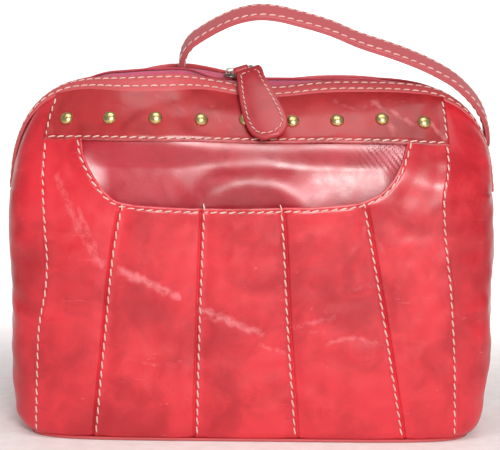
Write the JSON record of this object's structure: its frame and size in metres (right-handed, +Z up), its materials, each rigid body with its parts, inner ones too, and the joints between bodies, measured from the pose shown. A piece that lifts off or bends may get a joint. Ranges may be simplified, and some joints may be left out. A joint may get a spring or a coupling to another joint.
{
  "type": "doctor bag",
  "caption": "Leather doctor bag with an arched zip mouth half open, gored front pocket, studded band, hanging zip pull and one arched handle.",
  "frame": {"origin": "centre of the base, on the surface that the bag stands on", "axes": "+X to the right as seen from the front, -Y out of the pocket front, +Z up"},
  "size_m": [0.3051, 0.115, 0.2724],
  "materials": {
    "red_leather": "glossy pull-up leather, worn",
    "band_leather": "glazed, deep red",
    "facing_leather": "smooth high gloss",
    "binding_leather": "satin, double topstitched",
    "strap_leather": "satin, two rows of topstitching",
    "lining_cloth": "woven cloth",
    "zip_tape": "woven tape",
    "zip_coil": "moulded coil",
    "stud_brass": "polished",
    "slider_metal": "aged, dark",
    "base_board": "fibreboard"
  },
  "bodies": {
    "bag_body": {"pocket_gore_1": "red_leather", "pocket_gore_2": "red_leather", "pocket_gore_3": "red_leather", "pocket_gore_4": "red_leather", "pocket_gore_5": "red_leather", "pocket_facing": "facing_leather", "pocket_lining": "lining_cloth", "back_panel": "red_leather", "back_band": "band_leather", "back_band_lining": "lining_cloth", "gusset_left": "red_leather", "gusset_right": "red_leather", "base_panel": "red_leather", "base_board": "base_board", "base_welt": "red_leather", "lining_wall": "lining_cloth", "lining_floor": "lining_cloth", "back_binding": "binding_leather", "zip_tape_back": "zip_tape", "zip_coil_back": "zip_coil", "handle_strap_tucked_end": "strap_leather", "front_binding_left_shoulder": "binding_leather", "back_binding_left_shoulder": "binding_leather", "front_binding_right_shoulder": "binding_leather", "back_binding_right_shoulder": "binding_leather", "zip_front_left_shoulder": "zip_tape", "zip_back_left_shoulder": "zip_tape", "zip_front_right_shoulder": "zip_tape", "zip_back_right_shoulder": "zip_tape"},
    "front_mouth": {"stud_band": "band_leather", "front_band_lining": "lining_cloth", "front_binding": "binding_leather", "zip_tape_front": "zip_tape", "zip_coil_front": "zip_coil", "stud_1": "stud_brass", "stud_2": "stud_brass", "stud_3": "stud_brass", "stud_4": "stud_brass", "stud_5": "stud_brass", "stud_6": "stud_brass", "stud_7": "stud_brass", "stud_8": "stud_brass", "stud_9": "stud_brass", "stud_back_1": "stud_brass", "stud_back_2": "stud_brass", "stud_back_3": "stud_brass", "stud_back_4": "stud_brass", "stud_back_5": "stud_brass", "stud_back_6": "stud_brass", "stud_back_7": "stud_brass", "stud_back_8": "stud_brass", "stud_back_9": "stud_brass"},
    "zip_slider_unit": {"zip_slider": "slider_metal", "zip_slider_underplate": "slider_metal"},
    "pull_link": {"pull_link": "slider_metal"},
    "pull_tab": {"pull_tab": "band_leather"},
    "handle": {"handle_strap": "strap_leather"}
  },
  "joints": [
    {"name": "mouth_open", "type": "hinge", "parent": "bag_body", "child": "front_mouth", "pos_m": [0, -0.0448, 0.19], "axis": [1, 0, 0], "range_deg": [0, 15]},
    {"name": "zip_slide", "type": "slide", "parent": "front_mouth", "child": "zip_slider_unit", "axis": [1, 0, 0], "range_m": [0, 0.05]},
    {"name": "link_swing", "type": "hinge", "parent": "zip_slider_unit", "child": "pull_link", "pos_m": [-0.014, 0, 0.2289], "axis": [0, -1, 0], "range_deg": [-12, 25]},
    {"name": "tab_lift", "type": "hinge", "parent": "pull_link", "child": "pull_tab", "pos_m": [-0.00731, -0.0155, 0.23095], "axis": [-0.9563, 0, -0.2924], "range_deg": [0, 60]},
    {"name": "handle_swing", "type": "hinge", "parent": "bag_body", "child": "handle", "pos_m": [-0.045, 0, 0.228], "axis": [0.978, 0, -0.2087], "range_deg": [-56, 0]}
  ]
}
